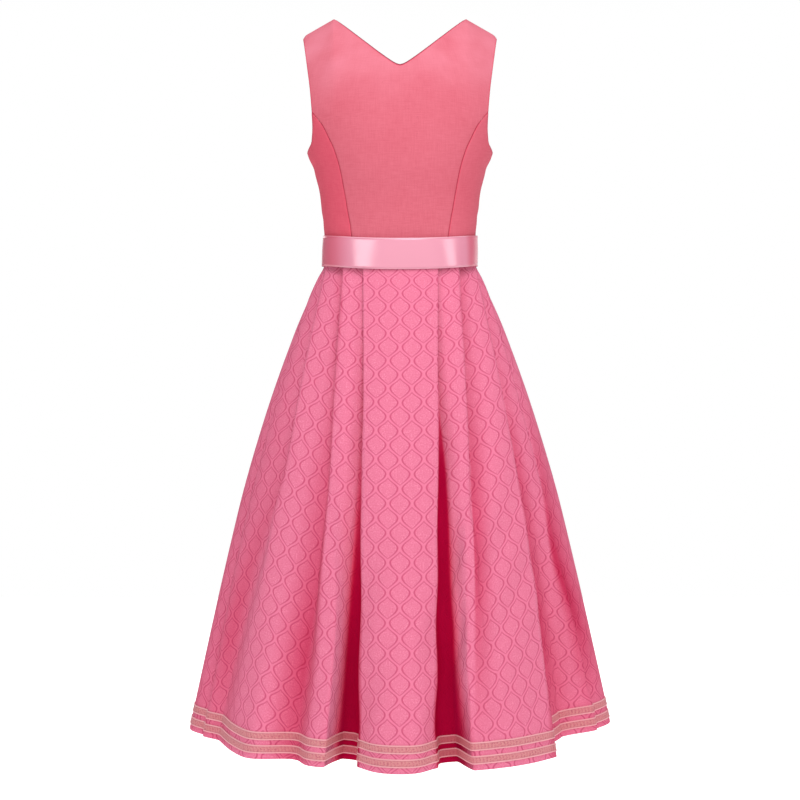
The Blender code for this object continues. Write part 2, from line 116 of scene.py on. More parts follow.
def bodyPoints(turn, z):
    turn, z = np.asarray(turn, float), np.asarray(z, float)
    across, along = np.sin(np.radians(turn)), np.cos(np.radians(turn))
    power = 2 / body["roundness"]
    x = curveAt(body["z"], body["half"], z) * np.abs(across) ** power
    slope = np.clip((x - body["neckX"]) / (body["shoulderX"] - body["neckX"]), 0, 1.2)
    below = np.sqrt(np.maximum(body["shoulderZ"] * slope - z, 0))
    rows = np.sqrt(body["below"])
    depth = np.where(along > 0, curveAt(rows, body["back"], below), curveAt(rows, body["front"], below))
    y = depth * np.abs(along) ** power
    wide, tall = (x - body["bustX"]) / body["bustWide"], (z - body["bustZ"]) / body["bustTall"]
    bust = body["bustOut"] * np.exp(-wide * wide - tall * tall) * np.minimum(1, 2 * np.abs(along))
    y = y + np.where(along < 0, bust, 0)
    return np.stack((np.copysign(x, across), -np.copysign(y, along), z), axis=-1)


def turnAt(x, z, front):
    share = np.minimum(np.abs(x) / curveAt(body["z"], body["half"], z), 1)
    turn = np.degrees(np.arcsin(share ** (body["roundness"] / 2)))
    return 180 - turn if front else turn


def gridNormals(grid):
    # outward directions of a grid whose columns run in increasing turn and whose rows run up
    return unit(np.cross(np.gradient(grid, axis=1), np.gradient(grid, axis=0)))


def runningSum(steps, axis):
    # from 0 at the first row or column
    return np.cumsum(np.insert(steps, 0, 0, axis=axis), axis=axis)


def alongCloth(grid, axis):
    # length of cloth up its columns (axis 0) or along its rows (axis 1)
    return runningSum(np.linalg.norm(np.diff(grid, axis=axis), axis=-1), axis)


def sewShell(name, outer, inner, u, v, material, tones, rimTone=0, shift=None, softened=None):
    # one closed thin sheet: outer and inner grids with a rounded rim between them, UVs in metres of cloth
    # tones are shares on the outer grid that the material reads, such as how dark a fold is
    # shift moves u for each column of faces, where a fold hides that the pattern doesn't run on
    # softened holds normals where a bend takes light more softly, and zeros elsewhere
    rows, columns = outer.shape[:2]
    ring = [(0, c) for c in range(columns)] + [(r, columns - 1) for r in range(1, rows)]
    ring += [(rows - 1, c) for c in range(columns - 2, -1, -1)] + [(r, 0) for r in range(rows - 2, 0, -1)]
    rr, cc = np.array(ring).T
    insideR, insideC = np.clip(rr, 1, rows - 2), np.clip(cc, 1, columns - 2)
    edge = unit(outer[rr, cc] - outer[insideR, insideC])
    rim = (outer[rr, cc] + inner[rr, cc]) / 2 + edge * rimRound
    count = rows * columns
    points = np.concatenate((outer.reshape(-1, 3), inner.reshape(-1, 3), rim))
    index = np.arange(count).reshape(rows, columns)
    a, b, c, d = index[:-1, :-1], index[:-1, 1:], index[1:, 1:], index[1:, :-1]
    outFaces = np.stack((a, b, c, d), axis=-1).reshape(-1, 4)
    inFaces = np.stack((a, d, c, b), axis=-1).reshape(-1, 4) + count
    border = index[rr, cc]
    after = np.roll(np.arange(len(ring)), -1)
    mid = 2 * count + np.arange(len(ring))
    rimOut = np.stack((border[after], border, mid, mid[after]), axis=-1)
    rimIn = np.stack((mid[after], mid, border + count, border[after] + count), axis=-1)
    faces = np.concatenate((outFaces, inFaces, rimOut, rimIn))
    mesh = bpy.data.meshes.new(name)
    mesh.from_pydata(points.tolist(), [], faces.tolist())
    uv = np.stack([np.concatenate((w.reshape(-1), w.reshape(-1), w[rr, cc]))[faces] for w in (u, v)], axis=-1)
    if shift is not None:
        rowOf = np.concatenate((index.reshape(-1) // columns,) * 2 + (rr,))
        faceColumn = np.concatenate((a.reshape(-1) % columns,) * 2 + (np.minimum(cc, columns - 2),) * 2)
        uv[..., 0] += shift[rowOf[faces], faceColumn[:, None]]
    layer = mesh.uv_layers.new(name="cloth")
    layer.data.foreach_set("uv", uv.astype(np.float32).reshape(-1))
    for title, values in tones.items():
        tone = np.zeros(len(points), np.float32)
        tone[:count] = values.reshape(-1)
        tone[2 * count:] = rimTone
        mesh.attributes.new(title, "FLOAT", "POINT").data.foreach_set("value", tone)
    mesh.polygons.foreach_set("use_smooth", np.ones(len(faces), bool))
    mesh.materials.append(material)
    mesh.update()
    if softened is not None:
        aims = np.zeros((len(points), 3))
        aims[:count] = softened.reshape(-1, 3)
        mesh.normals_split_custom_set_from_vertices(aims.tolist())
    piece = addObject(name, mesh)
    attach(piece, "root")
    return piece


def pieceName(node):
    first, *others = node.split("_")
    return first + "".join(word.title() for word in others)


def addObject(name, data):
    made = bpy.data.objects.new(name, data)
    bpy.context.scene.collection.objects.link(made)
    return made


# shader maths
class Wire:
    # wraps an output socket, so that an expression on it adds the nodes
    def __init__(self, tree, socket=None):
        self.tree = tree
        self.socket = socket

    def node(self, kind, settings, output=0, **values):
        made = self.tree.nodes.new(kind)
        for key, value in settings.items():
            setattr(made, key, value)
        for key, value in values.items():
            at = int(key[2:]) if key.startswith("at") else key.replace("_", " ")
            target = made.inputs[at]
            if isinstance(value, Wire):
                self.tree.links.new(value.socket, target)
            else:
                target.default_value = value
        return Wire(self.tree, made.outputs[output])

    def other(self, output):
        # another output of the same node
        return Wire(self.tree, self.socket.node.outputs[output])

    def math(self, operation, *others, first=None):
        values = [self, *others] if first is None else [first, self, *others]
        sockets = {f"at{i}": value for i, value in enumerate(values)}
        return self.node("ShaderNodeMath", {"operation": operation}, **sockets)

    def __add__(self, other):
        return self.math("ADD", other)

    __radd__ = __add__

    def __mul__(self, other):
        return self.math("MULTIPLY", other)

    __rmul__ = __mul__

    def __sub__(self, other):
        return self.math("SUBTRACT", other)

    def __rsub__(self, other):
        return self.math("SUBTRACT", first=other)

    def __truediv__(self, other):
        return self.math("DIVIDE", other)

    def between(self, low, high, start=0, end=1):
        # start below low, end above high, smooth in between
        settings = {"interpolation_type": "SMOOTHSTEP"}
        return self.node("ShaderNodeMapRange", settings, Value=self, From_Min=low, From_Max=high,
                         To_Min=start, To_Max=end)

    def band(self, at, wide):
        # 1 at one value, fading to 0 on both sides of it
        return (self - at).math("ABSOLUTE").between(0, wide, 1, 0)

    def mixed(self, first, second):
        # this value, from 0 to 1, mixes two colours
        return self.node("ShaderNodeMix", {"data_type": "RGBA"}, output=2, at0=self, at6=first, at7=second)

    def tinted(self, colour, tint):
        # this value, from 0 to 1, multiplies a colour by a tint
        multiply = {"operation": "MULTIPLY"}
        return self.node("ShaderNodeVectorMath", multiply, at0=colour, at1=self.mixed(white, tint))


def startMaterial(name, settings):
    material = bpy.data.materials.new(name)
    material.use_nodes = True
    shader = material.node_tree.nodes["Principled BSDF"]
    for key, value in settings.items():
        shader.inputs[key].default_value = value
    return material


def clothUv(material):
    uv = Wire(material.node_tree).node("ShaderNodeTexCoord", {}, output="UV")
    u = uv.node("ShaderNodeSeparateXYZ", {}, Vector=uv)
    return uv, u, u.other(1)


def finishMaterial(material, colour, roughness, height, strength, distance):
    bump = height.node("ShaderNodeBump", {}, Strength=strength, Distance=distance, Height=height)
    shader = material.node_tree.nodes["Principled BSDF"]
    for key, wire in (("Base Color", colour), ("Roughness", roughness), ("Normal", bump)):
        material.node_tree.links.new(wire.socket, shader.inputs[key])
    return material


def toneOf(uv, name="fold"):
    return uv.node("ShaderNodeAttribute", {"attribute_name": name}, output=2)


def dyed(base, palette, **amounts):
    # lays the palette's colours over the base, one after the other
    for title, amount in amounts.items():
        base = amount.mixed(base, palette[title])
    return base


def clothNoise(uv, scaleU, scaleV, detail=2, roughness=0.5):
    # noise drawn out along the threads, its marks 1 / scale metres long
    placed = uv.node("ShaderNodeMapping", {}, Vector=uv, Scale=(scaleU, scaleV, 1))
    return uv.node("ShaderNodeTexNoise", {"noise_dimensions": "2D"}, Vector=placed, Scale=1, Detail=detail,
                   Roughness=roughness)


# skirt cloth: pink jacquard with an ogee lattice woven tone on tone
jacquard = {
    "across": 0.0366,  # lattice repeat across the cloth
    "down": 0.0446,  # and down it, with every other column dropped by half
    "cellHalf": 0.0147,
    "cellTop": 0.016,
    "cellFoot": 0.0168,
    "topSlant": 0.62,  # how hollow the cell's sides are towards its tip, and towards its foot
    "footSlant": 0.1,
    "tipSlope": 0.017,  # how fast the outline is left beyond a tip
    "strays": (0.0012, 0.001),  # how far the threads wander across and down
    "lineWidth": (0.00078, 0.0006),  # of a cell's outline at its tips, and what its sides add
    "lineDark": (0.66, 0.32),  # the same for how dark it is
    # light channels: how far outside the outline, how wide and how light
    "channels": ((0.002, 0.001, 0.1), (-0.0021, 0.0011, 0.2)),
    "patchy": 0.8,  # how uneven the lightness is
    "ground": (0.78, 0.198, 0.32, 1),
    "cell": (0.756, 0.187, 0.304, 1),
    "light": (0.865, 0.28, 0.407, 1),
    "dark": (0.7, 0.143, 0.254, 1),
    "line": (0.6, 0.092, 0.188, 1),
    "stain": (0.68, 0, 0.18, 1),  # painted shade: tints the colours towards the bottom of a fold
    "warm": (1.38, 0.97, 0.95, 1),  # painted light: tints them where red light bounced off the cloth fills a fold
    "deep": (0.39, 0, 0.034, 1),  # painted shade at the bottom of a fold
}


def makeJacquard():
    material = startMaterial("pinkJacquard", {"Specular IOR Level": 0.04})
    uv, u, v = clothUv(material)
    wobble = clothNoise(uv, 55, 55) - 0.5
    u, v = u + wobble * jacquard["strays"][0], v + wobble * jacquard["strays"][1]

    def cellEdge(offset):
        # distance outside one set of cells, below 0 inside them
        across = ((u / jacquard["across"] + offset).math("FRACT") - 0.5) * jacquard["across"]
        down = ((v / jacquard["down"] + offset).math("FRACT") - 0.5) * jacquard["down"]
        far = (down / -jacquard["cellTop"]).math("MAXIMUM", down / jacquard["cellFoot"])
        bow = (far.math("MINIMUM", 1) * (math.pi / 2)).math("COSINE")
        below = down.math("GREATER_THAN", 0)
        hollow = below * (jacquard["footSlant"] - jacquard["topSlant"]) + jacquard["topSlant"]
        half = (bow + (bow * bow - bow) * hollow) * jacquard["cellHalf"]
        slant = (1.8 - bow * bow * 0.8).math("SQRT")  # the sides lean most at the tips
        beyond = (far - 1).math("MAXIMUM", 0) * jacquard["tipSlope"]
        return (across.math("ABSOLUTE") - half) / slant + beyond, bow

    first, firstBow = cellEdge(0)
    second, secondBow = cellEdge(0.5)
    nearer = first.math("LESS_THAN", second)
    bow = nearer * firstBow + (1 - nearer) * secondBow
    edge = first.math("MINIMUM", second)
    width, dark = (bow * more + atTips for atTips, more in (jacquard["lineWidth"], jacquard["lineDark"]))
    line = (edge.math("ABSOLUTE") / width).between(0.45, 1.4, 1, 0) * dark
    channels = [edge.band(far, wide) for far, wide, _ in jacquard["channels"]]
    inside = edge.between(-0.0016, -0.0004, 1, 0)
    mottle = clothNoise(uv, 430, 430, 3, 0.7)
    patches = clothNoise(uv, 90, 90)
    threads = clothNoise(uv, 1500, 1100, 2, 0.6)
    fleck = (mottle - 0.5) * (inside * 2 + 1)
    lightness = fleck + (patches - 0.5) * jacquard["patchy"]
    for channel, (_, _, light) in zip(channels, jacquard["channels"]):
        lightness = lightness + channel * light
    base = dyed(jacquard["ground"], jacquard, cell=inside, light=lightness.between(0, 1),
                dark=(0 - fleck).between(0, 0.8), line=(line * (mottle * 0.7 + 0.65)).math("MINIMUM", 1))
    # painted shade and light in the cloth's colour: darker and redder in its folds, warmed by painted red
    # bounce light beside the deep folds, and painted crimson at the bottom of the deep folds
    shade = toneOf(uv)
    base = toneOf(uv, "warm").tinted(shade.tinted(base, jacquard["stain"]), jacquard["warm"])
    base = dyed(base, jacquard, deep=(shade * 2.5 - 1.5).math("MAXIMUM", 0))
    height = inside * 0.35 + channels[0] * 0.25 - line * 0.7 + mottle * inside * 0.35 + threads * 0.22
    return finishMaterial(material, base, 0.72 + line * 0.1, height, 0.45, 0.0005)


# bodice cloth: coral plain weave
coral = {
    "dark": (0.605, 0.108, 0.152, 1),
    "light": (0.698, 0.166, 0.221, 1),
    "fleck": (0.44, 0.062, 0.1, 1),
    "worn": (0.78, 0.25, 0.325, 1),  # painted light: paler towards the shoulders, where light from above falls
    "shoulderLightUp": (-0.215, -0.34, 0, 0.46),  # where the painted light grows: from this height over the waist to that, from this much to that
    "turned": (0.8, 0.02, 0.08, 1),  # painted shade: deeper and redder on the sides, which turn from the light
    "edge": (0.26, 0.03, 0.05, 1),
}


def makeCoral():
    material = startMaterial("coralWeave", {"Specular IOR Level": 0.06})
    uv, _, v = clothUv(material)
    weft = clothNoise(uv, 55, 520, 1, 0.5)
    warp = clothNoise(uv, 560, 45, 1, 0.5)
    slub = clothNoise(uv, 30, 330, 2, 0.6)
    grain = clothNoise(uv, 900, 900, 2, 0.7)
    specks = clothNoise(uv, 360, 300, 2, 0.6)
    cloud = clothNoise(uv, 14, 14)
    tone = (weft - 0.5) * 0.55 + (warp - 0.5) * 0.55 + (slub - 0.5) * 0.2 + (grain - 0.5) * 0.7
    tone = tone + (cloud - 0.5) * 0.4 + 0.5
    tone = tone.math("MAXIMUM", 0).math("MINIMUM", 1)
    # painted light on the shoulders, made uneven by the cloud
    high = v.between(*coral["shoulderLightUp"]) * (cloud * 2.2 - 0.25)
    shade = toneOf(uv)
    base = dyed(coral["dark"], coral, light=tone, fleck=specks.between(0.7, 0.78, 0, 0.4),
                worn=high.math("MAXIMUM", 0), turned=shade.math("MINIMUM", 0.4),
                edge=(shade * 1.7 - 0.7).math("MAXIMUM", 0))
    height = weft + warp + slub * 0.5 + grain * 0.6
    return finishMaterial(material, base, 0.78 - tone * 0.06, height, 0.28, 0.0004)


# belt: satin ribbon with a woven edge
satin = {
    "colour": (0.765, 0.27, 0.378, 1),
    "away": (0.68, 0.06, 0.125, 1),  # painted shade: deeper rose where it turns away from the light
    "edge": (0.81, 0.345, 0.45, 1),
    "rib": (0.66, 0.22, 0.32, 1),
    "height": 0.049,
}


def makeSatin():
    material = startMaterial("pinkSatin", {"Specular IOR Level": 1, "IOR": 1.6})
    uv, _, v = clothUv(material)
    fromEdge = v.math("MINIMUM", satin["height"] - v)
    selvedge = fromEdge.between(0.001, 0.0017, 1, 0)
    rib = fromEdge.band(0.0021, 0.0006)
    threads = clothNoise(uv, 120, 5200, 2, 0.6)
    cloud = clothNoise(uv, 22, 60)
    # painted shade: the ribbon's ends are deeper rose where it turns from the light
    base = dyed(satin["colour"], satin, edge=selvedge, rib=rib * 0.25, away=toneOf(uv))
    roughness = selvedge * 0.35 + 0.17 + cloud * 0.1
    height = threads * 0.25 + selvedge * 0.8 - rib * 0.5
    return finishMaterial(material, base, roughness, height, 0.25, 0.0004)


# hem trim: matt beige tape with a light cord along each edge
tape = {
    "height": 0.012,
    "beige": (0.64, 0.265, 0.262, 1),
    "rose": (0.61, 0.164, 0.21, 1),
    "brown": (0.4, 0.1, 0.12, 1),
    "cord": (0.81, 0.375, 0.41, 1),
    "groove": (0.4, 0.1, 0.13, 1),
    "deep": (0.42, 0.03, 0.06, 1),  # painted shade where it lies in a fold
}


def makeTape():
    material = startMaterial("salmonTape", {"Specular IOR Level": 0.25, "Sheen Weight": 0.08})
    uv, u, v = clothUv(material)
    fromEdge = v.math("MINIMUM", tape["height"] - v)
    cord = fromEdge.between(0.0014, 0.0021, 1, 0)
    groove = fromEdge.band(0.0023, 0.0007)
    patches = clothNoise(uv, 300, 420, 3, 0.7)
    threads = clothNoise(uv, 2400, 900, 2, 0.6)
    ladder = ((u * 1150 + v * 700 + patches * 5).math("SINE") + 1) * 0.5
    tone = (patches - 0.5) * 2.2 + (threads - 0.5) * 0.9 + ladder * 0.35 + 0.3
    # painted shade where the tape lies in a skirt fold
    base = dyed(tape["rose"], tape, beige=tone.between(0, 1), brown=(0.35 - tone).between(0, 0.5),
                groove=groove * 0.45, cord=cord, deep=toneOf(uv) * (0.62 - cord * 0.38))
    height = cord * 1.2 + patches * 0.5 + threads * 0.3 - groove * 0.5
    return finishMaterial(material, base, 0.75 + cord * 0.05, height, 0.5, 0.0005)


skirtCloth, bodiceCloth, satinCloth, tapeCloth = makeJacquard(), makeCoral(), makeSatin(), makeTape()
print("materials made")

# bodice
bodice = {
    "wall": 0.0013,
    "lowerRows": 34,
    "upperRows": 30,
    "sideRows": 44,
    "seamSink": 0.0008,  # how deep the cloth dips into its seams
    "seamWide": 0.0014,
    "edgeLine": 0.0024,  # width of the dark turned edge along the neck
    "edgeTone": 0.9,  # how dark cut edges are
    "seamTones": (0.78, 0.35),  # how dark the columns along a seam are, from the seam in
    "sideTones": {"left": 0.32, "right": 0.1},  # painted shade: how much redder the sides grow
    "turnedFrom": 0.45,  # and the sine of the turn from which they do
    "turnedOver": 0.3,
    "shoulderRound": 0.007,  # how far the shoulder's outer end rounds down
    "shoulderSoft": 0.02,  # how far under the shoulder seam the rounding ends
    "armhole": {
        "z": (-0.218, -0.2118, -0.2073, -0.196, -0.158, -0.139, -0.12, -0.0928, -0.0646, -0.0284),
        "back": (0.15, 0.1456, 0.1423, 0.14, 0.1399, 0.1414, 0.1433, 0.147, 0.1512, 0.157),
        "front": (0.15, 0.1435, 0.1385, 0.1345, 0.131, 0.1325, 0.136, 0.142, 0.149, 0.157),
    },
    "backSeam": {
        "z": (-0.4, -0.354, -0.318, -0.278, -0.2466, -0.2233, -0.201, -0.1768, -0.158),
        "x": (0.0745, 0.0766, 0.0824, 0.0893, 0.0955, 0.1025, 0.1122, 0.125, 0.1399),
    },
    "frontSeam": {
        "z": (-0.4, -0.344, -0.29, -0.25, -0.215, -0.19, -0.168, -0.15),
        "x": (0.069, 0.0715, 0.078, 0.085, 0.093, 0.104, 0.117, 0.1314),
    },
    "cuts": {  # flat size, area and what it rests on
        "bodice_back": ((0.335, 0.395), 0.0815, ["bodiceFrontLeft", "bodiceFrontRight"]),
        "bodice_side_back": ((0.122, 0.228), 0.0177, ["bodiceBack"]),
        "bodice_side_front": ((0.125, 0.232), 0.0206, ["bodiceBack"]),
        "bodice_front": ((0.175, 0.385), 0.0302, ["bodiceBack"]),
    },
    "backNeck": {
        "x": (0, 0.006, 0.0112, 0.0196, 0.0367, 0.0585, 0.107),
        "z": (-0.0856, -0.0839, -0.0808, -0.0748, -0.0613, -0.0428, 0),
    },
    "frontNeckDepth": 0.165,
    "frontNeckSquareness": 5,
    # shallow creases: two ends as turn and height, how deep, and how wide on each side
    "creases": (
        ((28, -0.345), (55, -0.3), 0.00055, 0.01),
        ((-24, -0.348), (-58, -0.312), 0.00065, 0.011),
        ((-62, -0.235), (-35, -0.205), 0.00045, 0.012),
        ((60, -0.225), (38, -0.212), 0.0004, 0.01),
        ((-12, -0.352), (14, -0.347), 0.0004, 0.009),
        ((78, -0.33), (104, -0.3), 0.0006, 0.01),
        ((-82, -0.322), (-108, -0.336), 0.0006, 0.01),
        ((128, -0.345), (150, -0.31), 0.0006, 0.011),
        ((-125, -0.34), (-152, -0.318), 0.0005, 0.01),
        ((122, -0.205), (140, -0.172), 0.00055, 0.01),
        ((-120, -0.198), (-142, -0.168), 0.0006, 0.011),
    ),
}
body["seamInset"] = math.degrees(seamGap * 0.55 / 0.1)  # half a seam's gap, as a turn
edgeSteps = (0, 0.007, 0.015, 0.024, 0.036, 0.055)  # close columns beside a seam, as shares of a panel


def outerEdge(z, face, seam):
    armhole = curveAt(bodice["armhole"]["z"], bodice["armhole"][face], z)
    return np.where(z < seam["z"][-1], curveAt(seam["z"], seam["x"], z), armhole)


def rowsUp(low, level, above):
    # even rows from low to level, then the given ones
    return np.concatenate((np.linspace(low, level, bodice["lowerRows"], endpoint=False), above))


def shoulderHeight(x):
    return body["shoulderZ"] * (x - body["neckX"]) / (body["shoulderX"] - body["neckX"])


def creased(turn, z, points):
    # pushes the cloth in along each crease, and out a little beside it
    scale = 0.13 * math.pi / 180  # metres for a degree of turn
    offset = np.zeros(turn.shape)
    for (turnA, zA), (turnB, zB), deep, wide in bodice["creases"]:
        ends = np.array(((turnA * scale, zA), (turnB * scale, zB)))
        here = np.stack((turn * scale, z), axis=-1)
        span = ends[1] - ends[0]
        t = np.clip(((here - ends[0]) @ span) / (span @ span), 0, 1)
        near = ends[0] + t[..., None] * span
        away = np.linalg.norm(here - near, axis=-1) / wide
        fade = np.sin(np.pi * np.clip(t, 0.02, 0.98)) ** 0.7
        offset += deep * fade * (-np.exp(-(away**2) * 2.2) + 0.45 * np.exp(-((away - 1.2) ** 2) * 3))
    return points + gridNormals(points) * offset[..., None]


def panelShell(cut, turn, z, sinks, hand=None):
    # one panel, or one of a pair: both are laid out at +X, and the left one is then mirrored
    node = f"{cut}_{hand}" if hand else cut
    mirrored = hand == "left"
    points = creased(-turn if mirrored else turn, z, bodyPoints(turn, z))
    x = np.abs(points[..., 0])
    far = np.clip((x - body["shoulderX"]) / bodice["shoulderRound"] + 1, 0, 1)
    near = np.clip(1 - (shoulderHeight(x) - z) / bodice["shoulderSoft"], 0, 1)
    points[..., 2] -= bodice["shoulderRound"] * (1 - np.sqrt(1 - far * far * 0.98)) * near
    across = alongCloth(points, 1)
    normals = gridNormals(points)
    for side, sink in zip((across, across[:, -1:] - across), sinks):
        dip = bodice["seamSink"] * np.exp(-((side / bodice["seamWide"]) ** 2)) * sink[:, None]
        points = points - normals * dip[..., None]
    inner = points - gridNormals(points) * bodice["wall"]
    if "side" not in cut:
        for grid in (points, inner):  # the wall's end stands upright on the shoulder seam
            onSeam = np.abs(points[-1, :, 1]) < 0.002
            grid[-1, onSeam, 1] = seamGap if hand else -seamGap
    middle = points.shape[1] // 2
    u, v = across - across[:, middle:middle + 1], -alongCloth(points, 0)
    u = u + bodyPoints(turn, z)[:, middle:middle + 1, 0]
    if mirrored:
        flip = np.array((-1, 1, 1))
        points, inner, u, v = points[:, ::-1] * flip, inner[:, ::-1] * flip, -u[:, ::-1], v[:, ::-1]
    fromTop = v - v[-1:]
    onNeck = np.abs(points[-1, :, 0]) < body["neckX"]
    tone = np.clip(1.6 - fromTop / bodice["edgeLine"], 0, 1) * onNeck
    # painted shade: the side panels grow redder where they turn away from the light
    if "side" in cut:
        aside = np.abs(np.sin(np.radians(turn)))
        turned = eased((aside - bodice["turnedFrom"]) / bodice["turnedOver"])
        tone = np.maximum(tone, turned * bodice["sideTones"][hand])
    tone[:, (0, -1)], beside = bodice["seamTones"]
    tone[:, (1, -2)] = np.maximum(tone[:, (1, -2)], beside)
    tones = {"fold": tone}
    piece = sewShell(pieceName(node), points, inner, u, v, bodiceCloth, tones, bodice["edgeTone"])
    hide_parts(node)


def panelPair(cut, turn, z, sinks):
    for hand in ("right", "left"):
        panelShell(cut, turn, z, sinks, hand)


def makeBackPanel():
    seam, neck = bodice["backSeam"], bodice["backNeck"]
    near = 1 - np.array(edgeSteps)
    half = np.unique(np.concatenate((np.linspace(0, 0.93, 27), near, (body["neckX"] / body["shoulderX"],))))
    shares = np.concatenate((-half[:0:-1], half))
    turns, heights = [], []
    for share in shares:
        far = abs(share)
        top = seam["z"][-1]
        for _ in range(14):
            x = far * float(outerEdge(top, "back", seam))
            top = float(curveAt(neck["x"], neck["z"], x)) if x < body["neckX"] else shoulderHeight(x)
        waistZ = float(waistHeight(0))
        start = float(turnAt(far * curveAt(seam["z"], seam["x"], waistZ), waistZ, False))
        low, level = float(waistHeight(start)) + seamGap / 2, seam["z"][-1]
        up = 1 - (1 - np.linspace(0, 1, bodice["upperRows"])) ** 1.8
        z = rowsUp(low, level, level + (top - level) * up)
        turn = turnAt(far * outerEdge(z, "back", seam), z, False) - (body["seamInset"] if far == 1 else 0)
        turns.append(math.copysign(1, share) * turn)
        heights.append(z)
    turn, z = np.array(turns).T, np.array(heights).T
    sink = np.clip((seam["z"][-1] - z[:, -1]) / 0.01, 0, 1)
    panelShell("bodice_back", turn, z, (sink, sink))


def makeSidePanels():
    near = np.array(edgeSteps) * 1.6
    shares = np.unique(np.concatenate((np.linspace(0.1, 0.9, 13), near, 1 - near)))
    for face, seam, front in (("back", bodice["backSeam"], False), ("front", bodice["frontSeam"], True)):
        turns, heights = [], []
        for share in shares[::-1] if front else shares:
            def turnOf(z):
                start = turnAt(curveAt(seam["z"], seam["x"], z), z, front)
                return start + (90 - start) * share

            low, high = bodice["armhole"]["z"][0], seam["z"][-1]
            for _ in range(30):
                middle = (low + high) / 2
                x = bodyPoints(turnOf(middle), middle)[0]
                inside = x < curveAt(bodice["armhole"]["z"], bodice["armhole"][face], middle)
                low, high = (middle, high) if inside else (low, middle)
            waistZ = float(waistHeight(180 if front else 0))
            start = float(waistHeight(turnOf(waistZ))) + seamGap / 2
            z = np.linspace(start, low, bodice["sideRows"])
            inset = body["seamInset"] * {0: 1, 1: -1}.get(share, 0) * (-1 if front else 1)
            turns.append(turnOf(z) + inset)
            heights.append(z)
        turn, z = np.array(turns).T, np.array(heights).T
        panelPair(f"bodice_side_{face}", turn, z, np.ones((2, len(z))))


def makeFrontHalves():
    seam = bodice["frontSeam"]
    low, level = float(waistHeight(180)) + seamGap / 2, seam["z"][-1]
    up = np.linspace(0, 1, bodice["upperRows"] + 16)
    outerZ = rowsUp(low, level, level + (body["shoulderZ"] - level) * up)
    outerX = outerEdge(outerZ, "front", seam)
    x = np.linspace(0, 1, 400)
    z = x ** bodice["frontNeckSquareness"]
    path = np.hypot(np.diff(x) * body["neckX"], np.diff(z) * bodice["frontNeckDepth"])
    path = np.concatenate(((0,), np.cumsum(path)))
    at = up * path[-1]
    neckX = np.interp(at, path, x) * body["neckX"]
    neckZ = (np.interp(at, path, z) - 1) * bodice["frontNeckDepth"]
    innerX = np.concatenate((np.zeros(bodice["lowerRows"]), neckX))
    innerZ = rowsUp(low, neckZ[0], neckZ)
    near = np.array(edgeSteps)
    shares = np.unique(np.concatenate((np.linspace(0.08, 0.92, 17), near, 1 - near)))[::-1]
    turns, heights = [], []
    for share in shares:
        x = np.maximum(innerX + (outerX - innerX) * share, seamGap / 2)
        z = innerZ + (outerZ - innerZ) * share
        turns.append(turnAt(x, z, True) + (body["seamInset"] if share == 1 else 0))
        heights.append(z)
    turn, z = np.array(turns).T, np.array(heights).T
    sinkSide = np.clip((level - z[:, 0]) / 0.01, 0, 1)
    sinkCentre = np.clip((neckZ[0] - z[:, -1]) / 0.008, 0, 1) * 0.6
    panelPair("bodice_front", turn, z, (sinkSide, sinkCentre))


